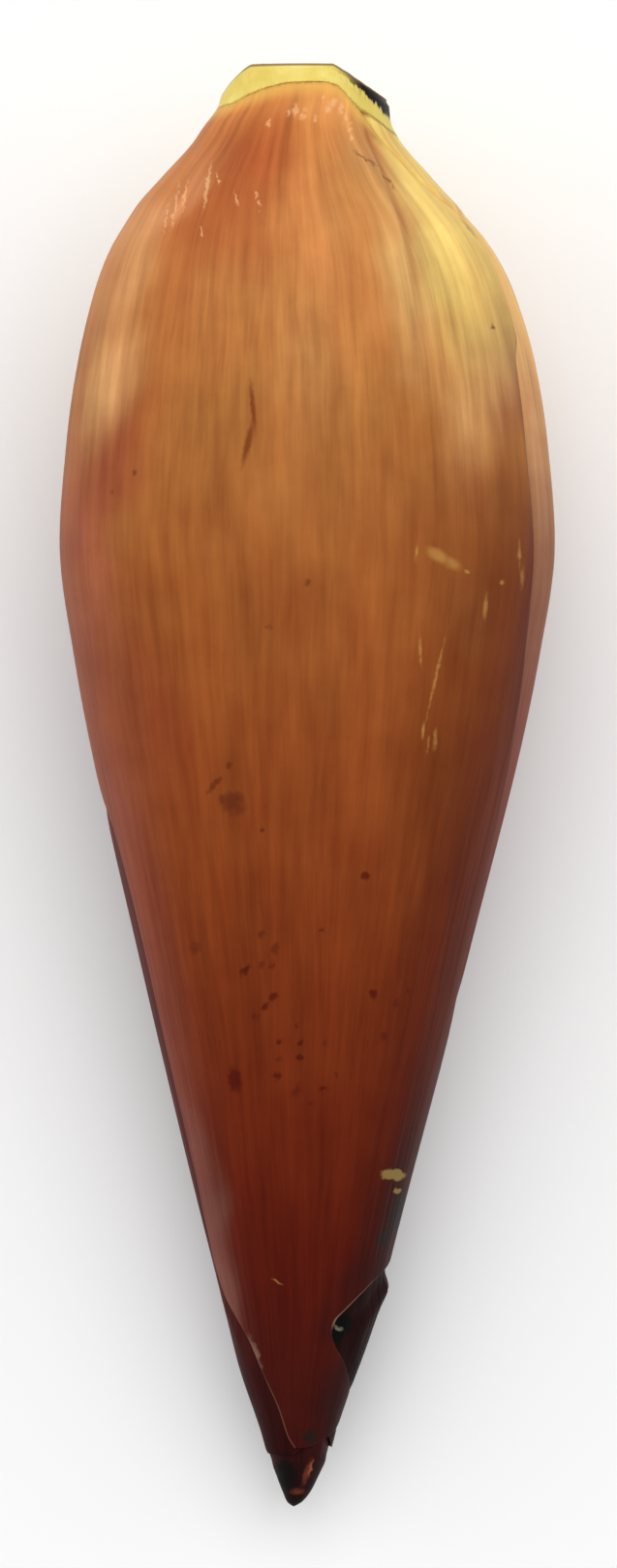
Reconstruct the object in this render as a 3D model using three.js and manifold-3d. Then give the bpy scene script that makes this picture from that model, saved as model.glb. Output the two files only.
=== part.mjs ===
// Banana blossom, the purple-brown flower bud of a banana plant, cut from its stalk and laid on a table.
// It is a stub of the stalk with the axis that runs on inside the bud, three big outer bracts that wrap
// over one another, the closed bud of younger bracts that they hold, and a hand of florets under each
// outer bract. Every piece is worked out in the bud's own frame: distance down the axis from the cut,
// angle round it from the upper side, and depth under the bud's outer skin.
// Millimetres, +Z up. The bud lies along Y, cut end towards +Y, and the origin is under its middle.
import * as THREE from "three";
import { mergeVertices } from "three/addons/utils/BufferGeometryUtils.js";
import Module from "manifold-3d";

// Driving sizes
const LENGTH = 250; // from the cut to the tip
const HALF_WIDTH = 42.9; // at the widest place, a third of the way down
const LEAN = 8.7; // degrees that the axis drops towards the tip where the bud lies
const FLAT = 0.9; // depth pressed flat where the bud rests
const PLEAT = 0.16; // height of the long pleats on the front bract
const PLEAT_START = 25; // where they begin down the axis
const PLEAT_RISE = 30; // distance over which they rise
const PLEAT_FADE = 40; // distance before the bract's tip over which they fade

// How the bracts lie on one another
const THINNING = 20; // degrees over which a bract thins out to its margin, and a hollow fades beyond it
const BASE_THINNING = 12; // the same for the bract along the axis, at its base
const BASE_SEAT = 3; // distance before a bract's base over which what lies below sinks under it
const TIP_SEAT = 3; // the hollow that a bract's tip lies in is as broad as the bract this far above its tip
const TIP_FADE = 2; // distance past the tip over which that hollow fades

const degrees = THREE.MathUtils.degToRad;
const mix = THREE.MathUtils.lerp;
const smooth = (x) => THREE.MathUtils.smoothstep(x, 0, 1);

// A smooth line through a few points [x, y], flat beyond its ends: cubic pieces whose slopes don't
// overshoot.
function curve(points) {
  const steps = points.slice(1).map(([x, y], i) => (y - points[i][1]) / (x - points[i][0]));
  const slopes = points.map((_, i) => {
    if (i === 0) return steps[0];
    if (i === steps.length) return steps[i - 1];
    const [before, after] = [steps[i - 1], steps[i]];
    return before * after <= 0 ? 0 : (2 * before * after) / (before + after);
  });
  return (x) => {
    if (x <= points[0][0]) return points[0][1];
    if (x >= points.at(-1)[0]) return points.at(-1)[1];
    const i = points.findLastIndex((p) => p[0] <= x);
    const run = points[i + 1][0] - points[i][0];
    const rise = points[i + 1][1] - points[i][1];
    const t = (x - points[i][0]) / run;
    const pull = (1 - t) * (slopes[i] * run - rise) - t * (slopes[i + 1] * run - rise);
    return points[i][1] + rise * t + t * (1 - t) * pull;
  };
}

// Down the axis: the air between two pieces that touch on the real bud, and the thickness of a margin
const gap = curve([[0, 0.5], [225, 0.5], [240, 0.32]]);
const edge = curve([[0, 0.8], [225, 0.8], [240, 0.64]]);

// The bud's outer skin: half its width, the sideways bend of its axis, and how round it is above and below
const width = curve([
  [0, 14], [7, 14.6], [13, 17.3], [20, 23.2], [26, 28.5], [33, 33.4], [40, 36.4], [53, 39.8], [66, 41.7],
  [83, HALF_WIDTH], [103, 40.3], [157, 28], [205, 16], [215, 13.5], [224, 10.9], [237, 6.5], [241, 5.4],
  [244, 4.1], [247.5, 2.5], [249.2, 1.35], [LENGTH, 0],
]);
const bend = curve([
  [0, -0.6], [7, -0.75], [12, -1.9], [23, -2.1], [30, -1.3], [40, -0.65], [53, -0.25], [83, -0.1],
  [157, -0.8], [205, -1.3], [215, -1.2], [230, -1.75], [240, -1.7], [247, -2], [LENGTH, -2.6],
]);
const upper = curve([[0, 1], [60, 0.94], [160, 0.94], [LENGTH, 1]]);
const lower = curve([[0, 1], [60, 0.9], [160, 0.9], [LENGTH, 1]]);
const SQUARENESS = 2.15; // 2 is an ellipse
const HAIR = 1e-6; // the least radius, so that the poles stay points
const SAME_PLACE = 1e-3; // corners nearer than this are one corner

// The point at a distance down the axis, at an angle round it, and at a depth under the outer skin.
function at(down, angle, depth) {
  const [s, c] = [Math.sin(degrees(angle)), Math.cos(degrees(angle))];
  const across = Math.max(width(down) - depth, HAIR);
  const tall = Math.max(width(down) * (c > 0 ? upper : lower)(down) - depth, HAIR);
  const reach = (Math.abs(s / across) ** SQUARENESS + Math.abs(c / tall) ** SQUARENESS) ** (-1 / SQUARENESS);
  return new THREE.Vector3(bend(down) + reach * s, -down, reach * c);
}

// The outer bracts, outermost first. Left and right are the angles of the two margins down the axis, base is
// where the bract grows from the stalk at each angle, and tip is how far down it reaches. The front bract's
// right margin is torn: it runs inward from 206 and out again below. Pressed is how far round a torn bract
// still holds down what lies below it, which springs up in the notch.
const bracts = [
  {
    name: "front_bract",
    middle: 0,
    tip: 240,
    left: curve([
      [0, -96], [60, -106], [100, -104], [118, -96], [134, -75], [158, -71.5], [191, -71], [208, -76],
      [212.5, -72], [216.5, -60], [221, -47], [226, -38], [232, -26], [237, -18], [240, -3],
    ]),
    right: curve([
      [0, 68], [33, 67.5], [46, 63.5], [68, 62.5], [90, 64.5], [113, 69.5], [138, 74.5], [156, 76],
      [170, 86], [190, 96], [206, 96], [208, 79], [210.2, 59], [212.6, 46], [214.8, 36], [217, 27.5],
      [219, 26], [221.2, 31], [223.6, 42], [227.5, 62], [231, 88], [234, 92], [235.6, 82], [237.8, 44],
      [240, -3],
    ]),
    pressed: curve([
      [156, 76], [170, 86], [190, 96], [206, 96], [209.6, 90], [212.8, 71], [216.8, 50], [219.6, 41],
      [223.4, 46], [227.5, 64], [231, 88], [234.6, 94], [236, 90], [238.4, 56],
    ]),
    base: curve([
      [-110, 9.4], [-90, 8.5], [-55, 8.1], [-42, 7], [-24, 5.7], [-8, 5], [12, 4.9], [22, 5.4], [32, 7.6],
      [47, 12], [52, 16.6], [56, 21], [62, 25], [68, 28],
    ]),
    thick: curve([[0, 2], [150, 2], [210, 1.2], [240, 0.7]]),
    columns: 32,
    rows: [
      0, 4, 9, 15, 22, 30, 39, 49, 60, 72, 85, 99, 112, 122, 130, 138, 150, 164, 178, 192, 201, 206,
      208, 210.2, 211.4, 212.6, 214.8, 217, 219, 221.2, 223.6, 225.6, 227.5, 229.2, 231, 233, 235.4, 236.6,
      237.8, 239,
    ],
  },
  {
    name: "right_bract",
    middle: 146,
    tip: 240.6,
    left: curve([
      [0, 42], [40, 50], [70, 48], [110, 42], [160, 44], [196, 34], [206, 12], [228, 12], [234, 30],
      [238, 62], [240.6, 110],
    ]),
    right: curve([
      [0, 230], [60, 238], [120, 236], [170, 228], [205, 212], [222, 194], [233, 160], [240.6, 110],
    ]),
    base: curve([[40, 9.2], [56, 10.9], [71, 12.6], [90, 13], [135, 12.5], [180, 8], [240, 11]]),
    thick: curve([[0, 2.1], [150, 2], [210, 0.9], [240, 0.64]]),
    columns: 34,
    rows: [
      0, 2.5, 5, 8, 12, 17, 24, 33, 44, 57, 72, 88, 105, 124, 144, 164, 182, 194, 200, 206, 209, 212, 216,
      219, 223, 225.5, 228, 230.5, 233, 235, 237, 239.2,
    ],
  },
  {
    name: "left_bract",
    middle: -106,
    tip: 241.5,
    left: curve([
      [0, -160], [70, -172], [150, -170], [205, -165], [228, -158], [237, -125], [241.5, -60],
    ]),
    right: curve([
      [0, -54], [70, -54], [110, -42], [160, -40], [206, -34], [220, -20], [232, -2], [238, 12], [240.4, -8],
      [241.5, -60],
    ]),
    base: curve([[-170, 16], [-125, 13], [-90, 14], [-40, 17]]),
    thick: curve([[0, 1.8], [150, 1.7], [210, 0.8], [240, 0.64]]),
    columns: 20,
    rows: [
      0, 7, 15, 24, 34, 45, 58, 72, 88, 104, 114, 122, 130, 138, 150, 166, 182, 198, 208, 214, 221, 228,
      233, 237, 239.4, 240.6, 241.2,
    ],
  },
];

// How far inside a bract's outline a place is, in degrees round the axis, and its angle as the bract counts.
function inside(bract, down, angle, right = bract.right) {
  const own = bract.middle + THREE.MathUtils.euclideanModulo(angle - bract.middle + 180, 360) - 180;
  const reach = Math.min(down, bract.tip - TIP_SEAT);
  return { own, degrees: Math.min(own - bract.left(reach), right(reach) - own) };
}

// 1 under a bract, falling to 0 just outside its margins, base and tip.
function cover(bract, down, angle) {
  const pressed = (reach) => Math.max(bract.right(reach), bract.pressed?.(reach) ?? bract.right(reach));
  const place = inside(bract, down, angle, pressed);
  const aboveBase = (bract.base(place.own) - down) / BASE_SEAT;
  const pastTip = (down - bract.tip) / TIP_FADE;
  return smooth(1 + place.degrees / THINNING) * smooth(1 - aboveBase) * smooth(1 - pastTip);
}

function thickness(bract, down, angle) {
  const place = inside(bract, down, angle);
  const from = Math.min(place.degrees / THINNING, (down - bract.base(place.own)) / BASE_THINNING);
  return mix(edge(down), Math.max(bract.thick(down), edge(down)), smooth(from));
}

// The depth of the surface that lies just under a number of outer bracts.
function under(count, down, angle) {
  const depths = bracts.slice(0, count).map((bract, i) => {
    const covered = cover(bract, down, angle);
    return covered && covered * (under(i, down, angle) + thickness(bract, down, angle) + gap(down));
  });
  return Math.max(0, ...depths);
}

// A closed mesh skinned over rings of points, running down the axis. A ring of one point is a pole. Where
// the first ring isn't a pole it is folded flat, like the base edge of a bract, and closed across the fold.
function skin(rings) {
  const corners = [];
  const face = (...points) => corners.push(...points.flatMap((p) => [p.x, p.y, p.z]));
  rings.slice(1).forEach((ring, i) => {
    const before = rings[i];
    const count = Math.max(ring.length, before.length);
    for (let j = 0; j < count; j++) {
      const [a, b] = [before[j % before.length], before[(j + 1) % before.length]];
      const [c, d] = [ring[(j + 1) % ring.length], ring[j % ring.length]];
      if (ring.length > 1) face(a, d, c);
      if (before.length > 1) face(a, c, b);
    }
  });
  const fold = rings[0];
  for (let j = 0; fold.length > 1 && j < fold.length / 2 - 1; j++) {
    const [a, b] = [fold[j], fold[j + 1]];
    const [c, d] = [fold[fold.length - 2 - j], fold[fold.length - 1 - j]];
    face(a, b, c);
    face(a, c, d);
  }
  const geometry = new THREE.BufferGeometry();
  geometry.setAttribute("position", new THREE.Float32BufferAttribute(corners, 3));
  return mergeVertices(geometry, SAME_PLACE);
}

const round = (count) => Array.from({ length: count }, (_, i) => (360 * i) / count);
const steps = (count) => Array.from({ length: count + 1 }, (_, i) => i / count);

// An outer bract: a thin curved leaf between its two margins, thickest along its middle. Its rows follow the
// slant of its base and level out further down. The front bract has long pleats outside.
const STRAIGHTEN = 70; // distance over which the rows level out
const FOLD = 0.01; // how far under its base the first row is, so that it isn't a line
function bractSkin(bract) {
  const order = bracts.indexOf(bract);
  const rings = bract.rows.map((row) => {
    const places = steps(bract.columns).map((share, j) => {
      const angle = mix(bract.left(row), bract.right(row), share);
      const down = Math.max(row, FOLD) + bract.base(angle) * (1 - smooth(row / STRAIGHTEN));
      const top = under(order, down, angle);
      const fade = smooth((down - PLEAT_START) / PLEAT_RISE) * smooth((bract.tip - down) / PLEAT_FADE);
      const pleat = order ? 0 : (j % 2 ? PLEAT : -PLEAT) * fade;
      return [at(down, angle, top - pleat), at(down, angle, top + thickness(bract, down, angle))];
    });
    return [...places.map((p) => p[0]), ...places.map((p) => p[1]).reverse()];
  });
  const tipAngle = bract.left(bract.tip);
  const end = at(bract.tip, tipAngle, under(order, bract.tip, tipAngle) + edge(bract.tip) / 2);
  return skin([...rings, [end]]);
}

// The stalk's radius, on down the axis inside the bud
const stalk = curve([[0, 13.8], [6, 14.3], [8, 13.8], [12, 12.7], [20, 12], [36, 10.5], [60, 7]]);
const STALK_END = 66;

// The knife's cut at the top of the stalk: how far down it is at x, z. It is nearly level, rounded off on
// the left and bevelled on the right.
function cut(x, z) {
  const level = 0.9 + 0.055 * z;
  const rounded = 0.135 * Math.max(-8 - x, 0) ** 2 + 0.1 * z;
  const bevel = 0.68 * (x - 4) + 0.11 * z;
  return Math.max(level, rounded, bevel);
}

// Where the outermost bract starts, at each angle round the stalk
const collar = curve([
  [-180, 8], [-130, 9.6], [-90, 8.5], [-55, 8.1], [-42, 7], [-24, 5.7], [-8, 5], [12, 4.9], [22, 5.4],
  [32, 7.6], [42, 9.4], [56, 10.9], [71, 12.6], [90, 13], [135, 12.5], [180, 8],
]);

// The cut stub, flaring out to the bracts' bases, and under them the axis that runs on inside the bud
const FLARE = 5; // how much sooner than its collar the stub reaches its full width
const RIM = 0.3; // the rim's height
const SEATED = 2; // how far the stub runs on under the bracts' bases before it narrows
const SLIM = 60; // where the axis has narrowed to its end
function stalkSkin() {
  const turn = round(32).map((angle) => (angle > 180 ? angle - 360 : angle));
  const flatRing = (share) =>
    turn.map((angle) => {
      const p = at(0, angle, width(0) - stalk(0) * share);
      return p.setY(-cut(p.x, p.z));
    });
  const sideRing = (downAt, flare = 0) =>
    turn.map((angle) => {
      const down = downAt(angle);
      const free = (width(down) - stalk(down)) * (1 - flare);
      return at(down, angle, Math.max(free, under(bracts.length, down, angle)));
    });
  const rim = (angle) => {
    const p = at(0, angle, width(0) - stalk(0));
    return cut(p.x, p.z) + RIM;
  };
  const seat = (angle) => collar(angle) + SEATED;
  const centre = at(0, 0, width(0));
  return skin([
    [centre.setY(-cut(bend(0), 0))],
    flatRing(0.55),
    flatRing(0.97),
    ...[0, 0.2, 0.4, 0.7, 1].map((share) =>
      sideRing((angle) => mix(rim(angle), collar(angle), share), smooth(share * FLARE)),
    ),
    sideRing(seat, 1),
    ...[0.12, 0.3, 0.6, 0.85].map((share) => sideRing((angle) => mix(seat(angle), SLIM, share))),
    [at(STALK_END, 0, width(STALK_END))],
  ]);
}

// The closed bud of younger bracts, hollow at the top where the stalk's axis runs into it. It is drawn in
// beside the florets, and its own rolled margins stand up as low steps towards the tip.
const BUD_TOP = 38;
const SHOULDER = [14.5, 20]; // radii of the rounded rim at its top
const SLACK = 0.15; // a little more air round the bud
const DRAWN_IN = 12.8; // depth that it is drawn in beside the florets
const FLORETS_END = 74; // where it starts to fill out below them, and over how far
const FILL_OUT = 36;
const ROLLS = 3; // margins that show round the tip
const ROLL_HEIGHT = 0.05; // their height as a share of the half width
const ROLL_TURN = 1.6; // degrees that they wind round the axis for each millimetre down
const ROLL_FROM = [245, 20]; // a place on one of them: distance down and angle
const ROLL_START = 205; // where they begin to stand up, and over how far
const ROLL_RISE = 25;
function budSkin() {
  const turn = round(34);
  const drawnIn = (down) => DRAWN_IN * (1 - smooth((down - FLORETS_END) / FILL_OUT));
  const roll = (down, angle) => {
    const wound = angle - ROLL_FROM[1] - ROLL_TURN * (down - ROLL_FROM[0]);
    const share = THREE.MathUtils.euclideanModulo((wound * ROLLS) / 360, 1);
    return ROLL_HEIGHT * width(down) * share * smooth((down - ROLL_START) / ROLL_RISE);
  };
  const outer = (down) =>
    turn.map((angle) => {
      const depth = Math.max(drawnIn(down), under(bracts.length, down, angle) + SLACK);
      return at(down, angle, depth + roll(down, angle));
    });
  const outerRows = [
    41, 47, 56, 66, 76, 84, 92, 100, 110, 124, 140, 156, 172, 188, 196, 201, 206, 212, 217, 222, 228, 232,
    235, 237.4, 239.4, 241.5, 243.4, 245.2, 247.2, 249.2,
  ];
  const socket = (down) => turn.map((angle) => at(down, angle, width(down) - stalk(down) - gap(down)));
  const rim = (down, radius) => turn.map((angle) => at(down, angle, width(down) - radius));
  return skin([
    [at(STALK_END + 1.5, 0, width(STALK_END + 1.5))],
    socket(STALK_END),
    socket(50),
    socket(BUD_TOP + 1),
    ...SHOULDER.map((radius) => rim(BUD_TOP, radius)),
    ...outerRows.map(outer),
    [at(LENGTH, 0, 0)],
  ]);
}

// One floret: a slim curved finger from the stalk's axis down along the inside of its bract.
const FLORET_START = 29;
const FLORET_LENGTH = 50;
const FLORET_FLATNESS = 0.92; // its thickness against its breadth
const FLORET_POINT = 1; // how far its end stands out past its last ring
const floretDepth = curve([[28, 15], [35, 10], [43, 7.2], [55, 6], [79, 6]]);
const floretRadius = curve([[29, 1.7], [40, 2.1], [66, 2.8], [76, 2.2], [79, 1.2]]);
function floretSkin(angle, deeper, end) {
  const clear = (down) => width(down) - stalk(down) - floretRadius(down) - 2 * gap(down);
  const path = (down) => at(down, angle, Math.min(floretDepth(down) + deeper, clear(down)));
  const stretch = (end - FLORET_START) / FLORET_LENGTH;
  const rings = [30, 37, 46, 58, 70, 76, 79].map((station) => {
    const down = FLORET_START + (station - FLORET_START) * stretch;
    const [here, next] = [path(down), path(down + 0.5)];
    const forward = next.sub(here).normalize();
    const aside = new THREE.Vector3(Math.cos(degrees(angle)), 0, -Math.sin(degrees(angle)));
    const outward = new THREE.Vector3().crossVectors(forward, aside).normalize();
    const radius = floretRadius(station);
    return round(6).map((turn) =>
      here
        .clone()
        .addScaledVector(aside, radius * Math.sin(degrees(turn)))
        .addScaledVector(outward, radius * FLORET_FLATNESS * Math.cos(degrees(turn))),
    );
  });
  return skin([[path(FLORET_START - FLORET_POINT / 2)], ...rings, [path(end + FLORET_POINT)]]);
}

// The low cushion on the axis that a hand's florets grow from
const CUSHION = 30; // its distance down the axis
const CUSHION_OUT = 3.8; // distance of its middle from the axis's surface
const CUSHION_HALF = [3.1, 4.2]; // half its height and half its length along the axis
const CUSHION_PAST = 6; // degrees that it reaches past the outermost florets
const CUSHION_END = 3; // degrees from there to its pointed end
function cushionSkin(middle, spread) {
  const ring = (angle, size) => {
    const out = new THREE.Vector3(Math.sin(degrees(angle)), 0, Math.cos(degrees(angle)));
    const centre = new THREE.Vector3(bend(CUSHION), -CUSHION, 0);
    centre.addScaledVector(out, stalk(CUSHION) + CUSHION_OUT);
    return round(8).map((turn) =>
      centre
        .clone()
        .addScaledVector(out, CUSHION_HALF[0] * size * Math.cos(degrees(turn)))
        .add(new THREE.Vector3(0, CUSHION_HALF[1] * size * Math.sin(degrees(turn)), 0)),
    );
  };
  const end = (angle) => [ring(angle, 0)[0]];
  const reach = spread + CUSHION_PAST;
  const fuller = (share) => 0.75 + share * (1 - share); // full size in the middle, less at its ends
  return skin([
    end(middle - reach - CUSHION_END),
    ...steps(7).map((share) => ring(middle + mix(-reach, reach, share), fuller(share))),
    end(middle + reach + CUSHION_END),
  ]);
}

// Cutting and joining
const wasm = await Module();
wasm.setup();
function toSolid(geometry) {
  return new wasm.Manifold(
    new wasm.Mesh({
      numProp: 3,
      vertProperties: geometry.attributes.position.array,
      triVerts: new Uint32Array(geometry.index.array),
    }),
  );
}
function toGeometry(solid) {
  const mesh = solid.getMesh();
  const geometry = new THREE.BufferGeometry();
  geometry.setAttribute("position", new THREE.BufferAttribute(mesh.vertProperties, 3));
  geometry.setIndex(new THREE.BufferAttribute(mesh.triVerts, 1));
  return geometry;
}

// A hand of florets side by side, fused to its cushion. Every second floret is a little shorter.
const SHORTER = 4;
function handSkin({ middle, spread, count, deeper }) {
  const florets = steps(count - 1).map((share, i) => {
    const angle = middle + mix(-spread, spread, share);
    const end = FLORET_START + FLORET_LENGTH - SHORTER * (i % 2);
    return toSolid(floretSkin(angle, deeper, end));
  });
  const cushion = toSolid(cushionSkin(middle, spread));
  return toGeometry(florets.reduce((hand, floret) => hand.add(floret), cushion));
}
const hands = [
  { name: "front_floret_hand", middle: 4, spread: 40, count: 8, deeper: 0 },
  { name: "right_floret_hand", middle: 138, spread: 40, count: 8, deeper: 0 },
  { name: "left_floret_hand", middle: -100, spread: 24, count: 5, deeper: 2.1 },
];

// Finishes, from the real thing's colours
const finish = (color, roughness) =>
  new THREE.MeshStandardMaterial({ color, roughness, metalness: 0, flatShading: true });
const bractFinish = finish(0x9a5330, 0.5);
const stalkFinish = finish(0xe6d774, 0.55);
const budFinish = finish(0x54201c, 0.5);
const floretFinish = finish(0xeadfae, 0.6);

function piece(name, geometry, material) {
  const mesh = new THREE.Mesh(geometry, material);
  mesh.name = name;
  return mesh;
}

// The bud leans so that it balances on its underside, which is pressed flat where it meets the table.
const lean = new THREE.Matrix4().makeRotationX(degrees(LEAN));
function pressFlat(geometry) {
  const leaning = geometry.applyMatrix4(lean);
  leaning.computeBoundingBox();
  const table = leaning.boundingBox.min.z + FLAT;
  return toGeometry(toSolid(leaning).trimByPlane([0, 0, 1], table));
}

const blossom = new THREE.Group();
blossom.add(
  piece("stalk", stalkSkin().applyMatrix4(lean), stalkFinish),
  piece("inner_bud", budSkin().applyMatrix4(lean), budFinish),
  ...bracts.map((bract) => {
    const shape = bractSkin(bract);
    const lying = bract.name === "right_bract" ? pressFlat(shape) : shape.applyMatrix4(lean);
    return piece(bract.name, lying, bractFinish);
  }),
  ...hands.map((hand) => piece(hand.name, handSkin(hand).applyMatrix4(lean), floretFinish)),
);
const box = new THREE.Box3().setFromObject(blossom);
const middle = box.getCenter(new THREE.Vector3());
blossom.position.set(-middle.x, -middle.y, -box.min.z);

export default blossom;
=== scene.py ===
# %% [markdown]
# # A banana blossom
# A banana blossom is the flower bud of a banana plant. Big waxy bracts wrap over one another round a closed
# bud, and a hand of florets sits under each outer bract. This scene loads the imported model, makes the
# bracts, the stalk and the bud again as fine surfaces from the same formulas, and gives each piece a material.

# %% Load the imported model
import math

import bpy
import numpy as np
from mathutils import Matrix, Vector


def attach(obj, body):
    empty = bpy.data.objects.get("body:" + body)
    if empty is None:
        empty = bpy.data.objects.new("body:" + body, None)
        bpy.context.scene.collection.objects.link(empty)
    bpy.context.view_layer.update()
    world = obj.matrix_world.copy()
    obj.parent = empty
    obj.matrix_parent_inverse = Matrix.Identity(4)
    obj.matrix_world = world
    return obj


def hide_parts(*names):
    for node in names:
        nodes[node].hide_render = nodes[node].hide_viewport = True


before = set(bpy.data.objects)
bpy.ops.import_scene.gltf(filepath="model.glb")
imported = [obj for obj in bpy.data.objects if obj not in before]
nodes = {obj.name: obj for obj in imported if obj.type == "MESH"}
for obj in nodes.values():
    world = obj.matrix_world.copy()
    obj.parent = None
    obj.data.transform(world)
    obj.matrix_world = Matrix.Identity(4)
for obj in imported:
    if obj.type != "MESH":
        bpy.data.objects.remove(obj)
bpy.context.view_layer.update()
print("packed nodes:", sorted(nodes))

# %% [markdown]
# ## The bud's own measures
# Every piece is worked out in the bud's frame: the distance down the axis from the cut, the angle round it
# from the upper side, and the depth under the outer skin. Millimetres and degrees are handy there. One
# matrix then leans the bud as it lies on the table and turns millimetres into metres.

# %% Driving sizes
LENGTH = 250.0  # from the cut to the tip
LEAN = 8.7  # degrees that the axis leans as the bud lies on the table
THINNING = 20.0  # degrees over which a bract thins out inside its margin, and stops pressing outside it
BASE_THINNING = 12.0  # millimetres over which it thins out towards its base
BASE_SEAT = 3.0  # millimetres before its base where it starts to press on what lies below
TIP_SEAT = 3.0  # millimetres before its tip where its margins are read for all that lies further down
TIP_FADE = 2.0  # millimetres past its tip where it stops pressing
SQUARENESS = 2.15  # the power in the ring's formula, where 2 would make an ellipse
HAIR = 1e-6  # the least half width, so that nothing is divided by 0


# %% Smooth lines through a few points
def smooth(x):
    """0 below 0, 1 above 1, and the S-shaped cubic between."""
    x = np.clip(x, 0.0, 1.0)
    return x * x * (3 - 2 * x)


def mix(a, b, share):
    """A share of the way from a to b."""
    return a + (b - a) * share


def curve(points):
    """A smooth line through points (x, y), flat beyond its ends.

    Each piece is a cubic. Its slope at a point is the harmonic mean of the slopes of the straight lines on
    either side, or level where they point opposite ways, so that the line never overshoots."""
    x, y = np.array(points, float).T
    step = np.diff(y) / np.diff(x)
    slope = np.zeros_like(y)
    slope[0], slope[-1] = step[0], step[-1]
    before, after = step[:-1], step[1:]
    same_way = before * after > 0
    slope[1:-1] = np.where(same_way, 2 * before * after / np.where(same_way, before + after, 1), 0)

    def value(at):
        at = np.clip(at, x[0], x[-1])
        i = np.clip(np.searchsorted(x, at, side="right") - 1, 0, len(x) - 2)
        span, rise = x[i + 1] - x[i], y[i + 1] - y[i]
        t = (at - x[i]) / span
        pull = (1 - t) * (slope[i] * span - rise) - t * (slope[i + 1] * span - rise)
        return y[i] + rise * t + t * (1 - t) * pull

    return value


# %% The outer skin
width = curve([
    (0, 14), (7, 14.6), (13, 17.3), (20, 23.2), (26, 28.5), (33, 33.4), (40, 36.4), (53, 39.8), (66, 41.7),
    (83, 42.9), (103, 40.3), (157, 28), (205, 16), (215, 13.5), (224, 10.9), (237, 6.5), (241, 5.4),
    (244, 4.1), (247.5, 2.5), (249.2, 1.35), (LENGTH, 0),
])
bend = curve([
    (0, -0.6), (7, -0.75), (12, -1.9), (23, -2.1), (30, -1.3), (40, -0.65), (53, -0.25), (83, -0.1),
    (157, -0.8), (205, -1.3), (215, -1.2), (230, -1.75), (240, -1.7), (247, -2), (LENGTH, -2.6),
])
upper = curve([(0, 1), (60, 0.94), (160, 0.94), (LENGTH, 1)])
lower = curve([(0, 1), (60, 0.9), (160, 0.9), (LENGTH, 1)])
stalk_radius = curve([(0, 13.8), (6, 14.3), (8, 13.8), (12, 12.7), (20, 12), (36, 10.5), (60, 7)])
gap = curve([(0, 0.5), (210, 0.5), (230, 0.08)])
edge_thickness = curve([(0, 0.8), (206, 0.8), (230, 0.16)])
STALK_END = 66.0


def at(down, angle, depth):
    """Points in the bud's frame: a squarish oval ring at each distance down, shrunk by the depth.

    The ring's reach r at an angle makes |r sin / across| and |r cos / tall|, each to the power of
    SQUARENESS, add up to 1."""
    down, angle, depth = np.broadcast_arrays(down, angle, depth)
    s, c = np.sin(np.radians(angle)), np.cos(np.radians(angle))
    across = np.maximum(width(down) - depth, HAIR)
    tall = np.maximum(width(down) * np.where(c > 0, upper(down), lower(down)) - depth, HAIR)
    reach = (np.abs(s / across) ** SQUARENESS + np.abs(c / tall) ** SQUARENESS) ** (-1 / SQUARENESS)
    return np.stack([bend(down) + reach * s, -down, reach * c], axis=-1)


print("widest", round(2 * float(width(83)), 1), "mm across,", LENGTH, "mm long")

# %% [markdown]
# ## How the bracts lie
# A bract is a leaf: two margins that run down to a tip, and a base that grows from the stalk. Each one lies
# on the bracts that are younger than itself, so the depth of a surface is what lies over it. The outermost
# bract comes first in the list, and `under` adds up the ones above.

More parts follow.
